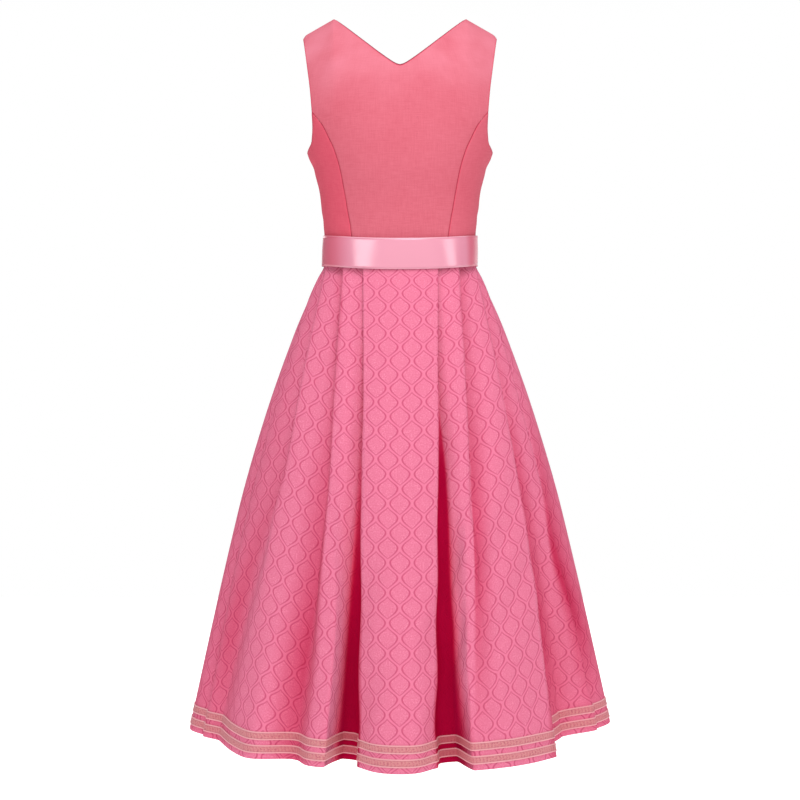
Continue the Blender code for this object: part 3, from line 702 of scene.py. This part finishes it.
# skirt and its trims
skirt = {
    "wall": 0.0011,
    "hemZ": -1.153,
    "hemLifts": {-1: 0.0075, 1: 0.017},  # how much the hem rises towards the side seams on -X and +X
    "hemLiftFrom": 0.24,
    # half width at each drop below the waist
    "drop": (0, 0.026, 0.04, 0.062, 0.09, 0.135, 0.2, 0.28, 0.37, 0.48, 0.6, 0.7, 0.7775),
    "half": (0.1226, 0.1234, 0.1312, 0.142, 0.154, 0.1711, 0.1953, 0.2219, 0.2482, 0.275, 0.3019, 0.3234,
             0.34),
    "waistDepth": 0.0912,
    "hemDepth": 0.293,
    "foldDrops": (0, 0.3, 0.7775),
    "layer": 0.0023,  # how far one layer of a pleat lies under the other
    "outermostFold": math.radians(84),
    "looseDrop": 0.3,  # below this the pleats hang loose
    "narrowest": 0.012,  # least width of a pleat
    "openPast": 0.009,  # a fold this far past its edge stands open
    "emerges": 0.0025,
    "centreBulge": 2.5,  # how late the centre panel comes forward to its edges
    "quickRise": 2.6,  # how soon the cloth comes forward again beside the deep folds
    "besideDrop": 0.28,  # from here, and over the next drop, that cloth's normals are softened and painted red bounce light warms it
    "besideOver": 0.16,
    "softened": 0.85,  # how far it turns to the light
    "softStarts": (0, 0.009),  # how far inside the next pleat's edge it starts, and over what width
    "warm": (0, 0, 0.1, 0.45, 0.85, 1),  # how much painted red bounce light fills it at the shade drops
    "warmStarts": (0.007, 0.022),
    "seamOutDrop": 0.12,  # above this the side seam is tucked in
    "seamTuckedIn": 0.045,
    "hemBand": 0.93,  # below this share of the length the pleats keep their section
    "rows": (0, 0.033, 0.056, 0.09, 0.14, 0.21, 0.3, 0.4, 0.5, 0.61, 0.72, 0.83, 0.93, 1),
    "fineRows": 132,
    "rowSpread": 1.04,  # fine rows are closer at the waist
    "waves": 0.00055,  # height of each of the waves down the cloth
    "waveSeeds": {"back": 7, "front": 11},
    "step": 0.005,  # widest column of the fine cloth
    # pleats from the centre out. at the fold drops: the edge's x, how far out it stands, how far past it the
    # inner fold lies and how deep. then how soft the edge and how steep the wall is, and the points of the
    # panel that follows
    "plusX": (
        ((0.061, 0.0572, 0.052), (1, 0.99, 0.873), (-0.028, 0.012, 0.039), (0, 0.105, 0.12),
         0.006, 0.4, 2),
        ((0.0925, 0.105, 0.1165), (1, 0.99, 0.972), (-0.026, -0.004, 0.036), (0, 0.012, 0.004),
         0.024, 0, 3),
        ((0.116, 0.176, 0.2393), (1, 0.985, 0.929), (-0.026, 0, 0.15), (0, 0.04, 0.168),
         0.006, 0.42, 2),
        ((0.123, 0.208, 0.316), (1, 0.985, 0.935), (-0.015, -0.004, 0.006), (0, 0.01, 0),
         0.02, 0, 2),
    ),
    "minusX": (
        ((0.059, 0.0572, 0.0617), (1, 0.99, 0.849), (-0.028, 0.005, 0.042), (0, 0.105, 0.166),
         0.006, 0.4, 2),
        ((0.089, 0.1065, 0.1135), (1, 0.985, 0.906), (-0.026, -0.004, 0.06), (0, 0.02, 0.097),
         0.024, 0, 3),
        ((0.1145, 0.1715, 0.237), (1, 0.985, 0.935), (-0.026, 0, 0.13), (0, 0.038, 0.058),
         0.02, 0, 2),
        ((0.1228, 0.216, 0.3154), (1, 0.985, 0.945), (-0.015, 0, 0.006), (0, 0.01, 0),
         0.01, 0, 2),
    ),
    "depthShare": 0.85,  # how deep the skirt is for its width
    "closedDrop": 0.45,  # above this the pattern shows no cloth that lies in a fold
    "restDrop": 0.6,  # what stays of a shadow further out is full from this drop on
    "shadeDrops": (0.08, 0.22, 0.35, 0.48, 0.61, 0.74),
    # painted shade in the first fold at these drops: how dark its bottom is, how far out it stays so, and
    # where that ends
    "deep": {
        "plusX": ((0, 0.55, 1, 1, 1, 1), (0, 0.001, 0.004, 0.005, 0.009, 0.015),
                  (0.004, 0.004, 0.015, 0.018, 0.026, 0.048)),
        "minusX": ((0, 0.05, 0.62, 0.92, 0.99, 1), (0, 0, 0, 0.001, 0.007, 0.013),
                   (0.004, 0.004, 0.012, 0.017, 0.024, 0.032)),
    },
    # where the outer pleats fall back: the x at which each shadow is darkest, how dark, how far out it fades,
    # how far before that x it begins, and what stays of it further out
    "shadows": {
        "plusX": (
            ((0.096, 0.1036, 0.109, 0.113, 0.115, 0.116), (0.22, 0.24, 0.5, 0.61, 0.34, 0.04),
             (0.018, 0.03, 0.034, 0.034, 0.034, 0.034), (0.002, 0.002, 0.002, 0.002, 0.006, 0.01), 0.02),
            ((0.13, 0.161, 0.183, 0.2035, 0.2215, 0.233), (0.05, 0.15, 0.5, 0.54, 0.66, 0.44),
             (0.012, 0.018, 0.022, 0.026, 0.028, 0.05), (0.002, 0.002, 0.002, 0.002, 0.002, 0.01), 0.12),
            ((0.145, 0.19, 0.222, 0.241, 0.283, 0.308), (0, 0.02, 0.44, 0.74, 0.66, 0.24),
             (0.015, 0.018, 0.022, 0.034, 0.03, 0.03), (0.002, 0.004, 0.006, 0.008, 0.03, 0.03), 0.26),
        ),
        "minusX": (
            ((0.091, 0.1004, 0.1085, 0.1202, 0.14, 0.156), (0.22, 0.2, 0.38, 0.52, 0.66, 0.56),
             (0.018, 0.022, 0.046, 0.056, 0.06, 0.06), (0.002, 0.003, 0.003, 0.006, 0.024, 0.026), 0),
            ((0.125, 0.1557, 0.18, 0.228, 0.264, 0.284), (0.06, 0.04, 0.18, 0.38, 0.5, 0.28),
             (0.02, 0.022, 0.024, 0.028, 0.03, 0.036), (0.002, 0.003, 0.004, 0.022, 0.034, 0.04), 0.22),
        ),
    },
    "flat": (1.16, 0.81),
    "area": 0.7,
}
skirt["length"] = waist["z"] - skirt["hemZ"]


class Ring:
    # the skirt's oval at one drop, before its pleats
    def __init__(self, drop):
        halves = skirt["half"]
        self.half = float(curveAt(skirt["drop"], halves, drop))
        spread = (self.half - halves[0]) / (halves[-1] - halves[0])
        self.depth = skirt["waistDepth"] + (skirt["hemDepth"] - skirt["waistDepth"]) * spread
        self.roundness = body["roundness"] - (body["roundness"] - 2) * min(drop / skirt["looseDrop"], 1)

    def angle(self, x, out):
        return math.asin(min(x / (self.half * out), 1) ** (self.roundness / 2))

    def radius(self, angle):
        return math.hypot(self.half * math.sin(angle), self.depth * math.cos(angle))

    def place(self, angle, out):
        across, along = math.sin(angle), math.cos(angle)
        x = out * self.half * across ** (2 / self.roundness)
        y = out * self.depth * math.copysign(abs(along) ** (2 / self.roundness), along)
        return x, -y, angle


def halfSection(pleats, drop):
    # corners of half the section from the centre line to the side seam, and which are inner folds and edges
    ring = Ring(drop)
    opened = min(drop / skirt["looseDrop"], 1)
    corners, marks = [(0, 1)], {"tucks": [], "edges": []}
    emerge, emergeOut, panel = 0, 1, 2
    for number, (*levels, soft, steep, nextPanel) in enumerate(pleats):
        edge, out, past, deep = (float(curveAt(skirt["foldDrops"], values, drop)) for values in levels)
        edge = min(ring.angle(edge, out), skirt["outermostFold"])
        radius = ring.radius(edge)
        edge = max(edge, emerge + skirt["narrowest"] * opened / radius)
        layer = skirt["layer"] * (1 + opened) * min(max(1 - past / skirt["openPast"], 0), 1) / radius
        soft = min(soft / 2, 0.45 * max(past, 0)) / radius
        for k in range(1, panel + 1):
            t = k / (panel + 1)
            rise = ease(t, opened) if number else t ** skirt["centreBulge"]
            if number == 1:
                rise = 1 - (1 - t) ** (1 + skirt["quickRise"] * opened)
            corners.append((emerge + (edge - soft - emerge) * t, emergeOut + (out - emergeOut) * rise))
        tuck = max(edge + past / radius, edge - 0.65 * (edge - emerge))
        sunk = (out - emergeOut) * max(edge - tuck, 0) / (edge - emerge)
        floor = out - layer - max(sunk, 0) - deep
        spread = min(max((tuck - edge) / 6, 0), 0.006 / radius)
        marks["edges"].append(len(corners))
        corners += [(edge - soft, out), (edge + soft, out - layer)]
        across, down = tuck - spread - edge - soft, floor - out + layer
        bend = steep * min(max(past / skirt["openPast"], 0), 1)
        corners.append((edge + soft + across * (0.5 - bend), out - layer + down * (0.5 + bend)))
        marks["tucks"].append(len(corners))
        corners += [(tuck - spread, floor), (tuck + spread, floor - layer)]
        emerge = max(tuck + spread, edge) + skirt["emerges"] / radius
        emergeOut, panel = min(floor - layer, out - 2 * layer), nextPanel
        corners.append((emerge, emergeOut))
    seamOut = 1 - skirt["seamTuckedIn"] * max(0, 1 - drop / skirt["seamOutDrop"])
    for k in range(1, panel + 2):
        t = k / (panel + 1)
        rise = emergeOut + (seamOut - emergeOut) * (1 - (1 - t) ** (1 + opened))
        corners.append((emerge + (math.pi / 2 - emerge) * t, rise))
    return [ring.place(angle, out) for angle, out in corners], marks


def skirtControls(facing):
    # control points of the back (-1) or front (+1), row by row from the hem up
    hands = ("plusX", "minusX") if facing > 0 else ("minusX", "plusX")
    rows = []
    for share in reversed(skirt["rows"]):
        drop = min(share, skirt["hemBand"]) * skirt["length"]
        flare = Ring(share * skirt["length"]).half / Ring(drop).half
        (left, leftMarks), (right, rightMarks) = (halfSection(skirt[hand], drop) for hand in hands)
        row = []
        for half, side in ((left[:0:-1], -1), (right, 1)):
            for x, y, angle in half:
                turn = math.degrees(angle) if facing < 0 else 180 - math.degrees(angle)
                rise = max(0, (x - skirt["hemLiftFrom"]) / 0.1) ** 0.6
                low = skirt["hemZ"] + skirt["hemLifts"][side] * rise
                top = float(waistHeight(turn)) - seamGap / 2
                row.append((side * x * flare, -facing * y * flare, top + (low - top) * share))
        rows.append(row)
    rows = np.array(rows)
    rows[:, (0, -1), 1] = facing * seamGap / 2
    centre = len(left) - 1
    marks = {"centre": [centre]}
    for title, found in leftMarks.items():
        marks[title] = [centre - i for i in found] + [centre + i for i in rightMarks[title]]
    return rows, marks


def fineSkirt(facing):
    # smooth grid through the control points, and its columns at the centre, the inner folds and the edges
    controls, marks = skirtControls(facing)
    shares = 1 - np.array(skirt["rows"][::-1])  # rising from the hem
    at = np.linspace(0, 1, skirt["fineRows"]) ** skirt["rowSpread"]
    tight = np.clip((1 - at) * skirt["length"] / skirt["looseDrop"], 0, 1) ** 2
    rows = curveAt(shares, controls, at)
    lengths = np.linalg.norm(np.diff(rows[..., :2], axis=1), axis=-1).max(axis=0)
    counts = np.maximum(np.ceil(lengths / skirt["step"]).astype(int), 2)
    padded = np.concatenate((2 * rows[:, :1] - rows[:, 1:2], rows, 2 * rows[:, -1:] - rows[:, -2:-1]), axis=1)
    columns, starts = [], []
    for i, count in enumerate(counts):
        starts.append(len(columns))
        near = [padded[:, i + k] for k in range(4)]
        for k in range(count + (i == len(counts) - 1)):
            t = k / count
            weights = ((1 - t) ** 3, 3 * t**3 - 6 * t * t + 4, -3 * t**3 + 3 * t * t + 3 * t + 1, t**3)
            smooth = sum(weight * points for weight, points in zip(weights, near)) / 6
            straight = near[1] + (near[2] - near[1]) * t
            columns.append(straight + (smooth - straight) * (0.25 + 0.75 * tight)[:, None])
    starts.append(len(columns) - 1)
    grid = np.stack(columns, axis=1)
    if facing > 0:  # columns run in increasing turn
        grid = grid[:, ::-1]
        starts = [grid.shape[1] - 1 - i for i in starts]
    return grid, {title: sorted(starts[i] for i in found) for title, found in marks.items()}


def dropsOf(grid):
    return (1 - np.linspace(0, 1, len(grid)) ** skirt["rowSpread"]) * skirt["length"]


def clothAcross(grid):
    # cloth length across, with the steep walls of the folds foreshortened, so that they don't cut the pattern
    steps = np.diff(grid, axis=1)
    middle = (grid[:, 1:] + grid[:, :-1]) / 2
    spread = skirt["depthShare"]
    aim = unit(np.stack((-middle[..., 1] / spread**2, middle[..., 0]), axis=-1))
    along = np.abs((steps[..., :2] * aim).sum(axis=-1))
    length = np.linalg.norm(steps, axis=-1)
    flat = eased((along / np.maximum(length, 1e-9) - 0.35) / 0.4)
    closed = np.clip((skirt["closedDrop"] - dropsOf(grid)) / 0.15, 0, 1)[:, None]
    return runningSum(along + (length - along) * (1 - (1 - flat) * closed), 1)


def besideDeepFolds(grid, marks, starts, wide):
    # 1 where the cloth comes forward again beside the deep folds, rising from starts over wide
    beside = np.zeros(grid.shape[:2])
    low = eased((dropsOf(grid) - skirt["besideDrop"]) / skirt["besideOver"])
    for fold, pleat in ((3, 2), (4, 5)):  # of the eight, from side seam to side seam
        edge = marks["edges"][pleat]
        first, last = sorted((marks["tucks"][fold], edge))
        inside = np.abs(grid[:, edge:edge + 1, 0]) - np.abs(grid[:, first:last + 1, 0])
        beside[:, first:last + 1] = low[:, None] * eased((inside - starts) / wide)
    return beside


def foldShade(grid, marks, facing):
    # how dark the folds are, from 0 to 1: crimson in the deep ones, softer where the outer pleats fall back
    drops, columns = dropsOf(grid), np.arange(grid.shape[1])
    rows = np.arange(len(grid))

    def level(values):
        return curveAt(skirt["shadeDrops"], values, drops)[:, None]

    away, shade = np.abs(grid[..., 0]), np.zeros(grid.shape[:2])
    for side, hand in enumerate(("minusX", "plusX")):
        tuck, edge = marks["tucks"][3 + side], marks["edges"][3 + side]
        dark, full, gone = (level(values) for values in skirt["deep"][hand])
        sunk = np.abs(grid[rows, edge, 1])[:, None] - np.abs(grid[..., 1])
        wall = eased((sunk - 0.002) / 0.004)
        past = (away - away[rows, tuck][:, None] - full) / (gone - full)
        first, last = sorted((tuck, edge))
        outwards = columns > tuck if side else columns < tuck
        inFold = np.where(outwards, 1 - eased(past), wall * ((columns >= first) & (columns <= last)))
        shade = np.maximum(shade, inFold * np.clip(dark, 0, 1))
        onSide = grid[..., 0] * facing * (-1 if side else 1) > 0
        for *levels, rest in skirt["shadows"][hand]:
            x, dark, reach, before = (level(values) for values in levels)
            out = (away - x) / np.where(away > x, reach, before)
            rest = np.where(out > 0, rest, 0) * np.clip(drops / skirt["restDrop"], 0, 1)[:, None]
            here = rest + (np.maximum(dark, 0) - rest) * (1 - eased(np.abs(out)))
            shade = np.maximum(shade, np.where(onSide, here, 0))
    return shade


def skirtWaves(grid, seed):
    # small, uneven waves down the cloth, fading towards the belt and at the seams
    rng = np.random.default_rng(seed)
    rows, columns = grid.shape[:2]
    across = alongCloth(grid, 1)
    down = np.linspace(1, 0, rows)[:, None]
    fromSeam = np.minimum(across, across[:, -1:] - across)
    offset = np.zeros((rows, columns))
    for _ in range(9):
        wide = rng.uniform(0.05, 0.16)
        phase, lean = rng.uniform(0, 6.3), rng.uniform(-0.8, 0.8)
        tall, rise = rng.uniform(0.6, 1.6), rng.uniform(0, 6.3)
        swell = 0.6 + 0.4 * np.sin(down * tall * 6.283 + rise)
        offset += skirt["waves"] * np.sin(across / wide * 6.283 + phase + lean * down * 3) * swell
    offset *= np.clip(down / 0.25, 0, 1) * np.clip(fromSeam / 0.03, 0, 1)
    return grid + gridNormals(grid) * offset[..., None]


def softNormals(grid, normals, beside):
    # the cloth beside the deep folds takes the light of the cloth around it
    outward = unit(grid * np.array((1, 1 / skirt["depthShare"], 0)))
    amount = beside[..., None] * skirt["softened"]
    return unit(normals * (1 - amount) + outward * amount) * (amount > 0)


def makeSkirtSide(facing):
    face = "back" if facing < 0 else "front"
    grid, marks = fineSkirt(facing)
    grid = skirtWaves(grid, skirt["waveSeeds"][face])
    normals = gridNormals(grid)
    normals[:, (0, -1), 1:] = 0  # a seam's end stays in the seam's plane
    normals = unit(normals)
    thick = normals * (skirt["wall"] / 2)
    u, v = clothAcross(grid), -alongCloth(grid, 0)
    v = v - v[-1:]  # from the waist down
    # the pattern follows the centre line on the centre panel, and the edges of outer pleats beside it
    tucks, edges = marks["tucks"], marks["edges"]
    starts = (0, tucks[3], tucks[4], tucks[6], None)
    follows = (edges[1], marks["centre"][0], edges[6], -1)
    shift = np.zeros(u.shape)
    for start, end, at in zip(starts, starts[1:], follows):
        shift[:, start:end] = -u[:, at][:, None]
    # painted shade of the folds, and painted red bounce light beside the deep folds, for the cloth's colour
    fold = foldShade(grid, marks, facing)
    warm = np.clip(curveAt(skirt["shadeDrops"], skirt["warm"], dropsOf(grid)), 0, 1)[:, None]
    tones = {"fold": fold, "warm": warm * besideDeepFolds(grid, marks, *skirt["warmStarts"])}
    softened = softNormals(grid, normals, besideDeepFolds(grid, marks, *skirt["softStarts"]))
    piece = sewShell(pieceName(f"skirt_{face}"), grid + thick, grid - thick, u, v, skirtCloth, tones,
                     shift=shift, softened=softened)
    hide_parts(f"skirt_{face}")
    for row, low in trims["lowerEdges"].items():
        makeTrim(grid, normals, fold, low, f"trim_{row}_{face}")


trims = {
    "lowerEdges": {"lower": 0.0085, "upper": 0.028},  # above the hem
    "height": 0.012,
    "wall": 0.0008,
    "offset": 0.00015,  # off the skirt
    "cordWide": 0.0022,
    "cordProud": 0.0004,
    "rows": 7,
    "flat": (1.15, 0.012),
}


def makeTrim(grid, normals, fold, low, node):
    heights = grid[:, :, 2] - grid[:1, :, 2]
    lift = np.linspace(low, low + trims["height"], trims["rows"])
    at = np.clip(np.searchsorted(heights[:, heights.shape[1] // 2], lift) - 1, 0, len(grid) - 2)
    share = ((lift[:, None] - heights[at]) / (heights[at + 1] - heights[at]))[..., None]
    band, aims, tone = (a[at] + (a[at + 1] - a[at]) * share for a in (grid, normals, fold[..., None]))
    aims = unit(aims)
    inner = band + aims * (skirt["wall"] / 2 + trims["offset"])
    fromEdge = np.minimum(lift - low, low + trims["height"] - lift)
    puff = np.where(fromEdge < trims["cordWide"], trims["cordProud"], 0)[:, None, None]
    outer = inner + aims * (trims["wall"] + puff)
    u, v = alongCloth(outer, 1), np.repeat((lift - low)[:, None], outer.shape[1], axis=1)
    piece = sewShell(pieceName(node), outer, inner, u, v, tapeCloth, {"fold": tone})
    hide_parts(node)


# belt
belt = {
    "wall": 0.0009,
    "half": (0.1263, 0.125),  # at its lower and upper edge
    "depth": (0.0956, 0.0958),
    "starts": 186,
    "lap": 17,  # degrees by which its end lies over its start, beside the centre front
    "lapLifts": (340, 18, 0.0011),  # it leaves the body this many degrees on, over these degrees and this far
    "bow": 0.0006,  # how far its middle stands out
    "twist": 0.0015,  # how far it leans in and out, in five waves
    "rightTone": (0.8, 0.1, 0.62),  # painted shade: the sine of the turn where it darkens, over how much, how dark
    "leftTone": (0.56, 0.34, 0.7),
    "rows": 13,
    "columns": 320,
    "flat": (0.735, 0.049),
}


def makeBelt():
    turns = np.linspace(belt["starts"], belt["starts"] + 360 + belt["lap"], belt["columns"])
    across, along = np.sin(np.radians(turns)), np.cos(np.radians(turns))
    lapFrom, lapOver, lapFar = belt["lapLifts"]
    lap = eased((turns - belt["starts"] - lapFrom) / lapOver) * (lapFar + 2 * seamGap)
    twist = belt["twist"] * np.sin(np.radians(turns * 5 + 40))
    power = 2 / body["roundness"]
    outer = []
    for up in np.linspace(0, 1, belt["rows"]):
        half, depth = (low + (high - low) * up for low, high in (belt["half"], belt["depth"]))
        wide = 1 + lap / depth
        bow = belt["bow"] * math.sin(math.pi * up) + twist * (up - 0.5)
        x = np.copysign((half * wide + bow) * np.abs(across) ** power, across)
        y = -np.copysign((depth * wide + bow) * np.abs(along) ** power, along)
        z = waistHeight(turns) + (up - 0.5) * satin["height"]
        outer.append(np.stack((x, y, z), axis=-1))
    outer = np.array(outer)
    inner = outer - gridNormals(outer) * belt["wall"]
    u, v = alongCloth(outer, 1), alongCloth(outer, 0)
    v = v / v[-1:] * satin["height"]
    # painted shade: the ribbon darkens where it turns away from the light at each side
    sides = ((across, belt["rightTone"]), (-across, belt["leftTone"]))
    tone = sum(eased((aside - low) / over) * most for aside, (low, over, most) in sides)
    tone = np.repeat(tone[None, :], belt["rows"], axis=0)
    piece = sewShell("satinBelt", outer, inner, u, v, satinCloth, {"fold": tone})
    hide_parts("waist_ribbon")


makeBackPanel()
makeSidePanels()
makeFrontHalves()
print("bodice sewn")
makeSkirtSide(-1)
makeSkirtSide(1)
print("skirt and trims sewn")
makeBelt()
print("belt laid")

# camera, floor, room and lights
studio = {
    "cameraPlace": (0, -3, -0.503),
    "lens": 83.33,
    "sensor": 36,
    "shiftY": -0.0875,
    "floor": ((-4, -0.8), (4, 4.6)),
    "floorDrop": 0.45,
    "floorSettings": {
        "Base Color": (0.92, 0.92, 0.92, 1),
        "Roughness": 0.9,
        "Emission Color": white,
        "Emission Strength": 0.8,
    },
    # light of the room, upwards and to each side: where it starts and ends to change, from what and to what
    "overhead": (0.16, 0.4, 1, 0.5),
    "leftSide": (-0.5, -0.24, 0.24, 1),
    "rightSide": (0.55, 0.85, 1, 0.24),
    # place, height on the dress's axis that it shines at, size and power
    "lights": {
        "keyLight": ((0.5, -2.7, 1.5), -0.55, (1.6, 1.6), 28),
        "topLight": ((0, -1.3, 2.5), -0.4, (1.6, 1.2), 42),
        "leftSoftbox": ((-1.85, -2.36, -0.2), -0.45, (1.35, 1.6), 22),
        "rightStrip": ((2.5, -1.45, -0.2), -0.4, (0.85, 1.6), 12),
        "farLight": ((-1.4, 3.2, 0.9), -0.55, (1.6, 1.6), 24),
    },
}


def makeCamera():
    camera = bpy.data.cameras.new("camera")
    camera.lens, camera.sensor_width, camera.shift_y = studio["lens"], studio["sensor"], studio["shiftY"]
    holder = addObject("camera", camera)
    holder.location = studio["cameraPlace"]
    holder.rotation_euler = (math.pi / 2, 0, 0)
    bpy.context.scene.camera = holder


def makeFloor():
    (left, near), (right, far), z = *studio["floor"], cadBox[0][2] - studio["floorDrop"]
    mesh = bpy.data.meshes.new("floor")
    mesh.from_pydata([(left, near, z), (right, near, z), (right, far, z), (left, far, z)], [], [(0, 1, 2, 3)])
    mesh.materials.append(startMaterial("floorWhite", studio["floorSettings"]))
    addObject("floor", mesh)


def makeRoom():
    room = bpy.data.worlds.new("studio")
    room.use_nodes = True
    background = room.node_tree.nodes["Background"]
    sky = Wire(room.node_tree).node("ShaderNodeTexCoord", {}, output="Generated")
    side = sky.node("ShaderNodeSeparateXYZ", {}, Vector=sky)
    strength = side.other(2).between(*studio["overhead"])
    strength = strength * side.between(*studio["leftSide"]) * side.between(*studio["rightSide"])
    room.node_tree.links.new(strength.socket, background.inputs["Strength"])
    background.inputs["Color"].default_value = white
    bpy.context.scene.world = room
    bpy.context.scene.view_settings.view_transform = "Standard"


def makeLights():
    for name, (place, aim, size, power) in studio["lights"].items():
        light = bpy.data.lights.new(name, "AREA")
        light.shape = "RECTANGLE"
        light.size, light.size_y = size
        light.energy = power
        holder = addObject(name, light)
        holder.location = place
        x, y, z = -place[0], -place[1], aim - place[2]
        holder.rotation_euler = (math.atan2(math.hypot(x, y), -z), 0, math.atan2(-x, y))


makeCamera()
makeFloor()
makeRoom()
makeLights()
print("studio set")
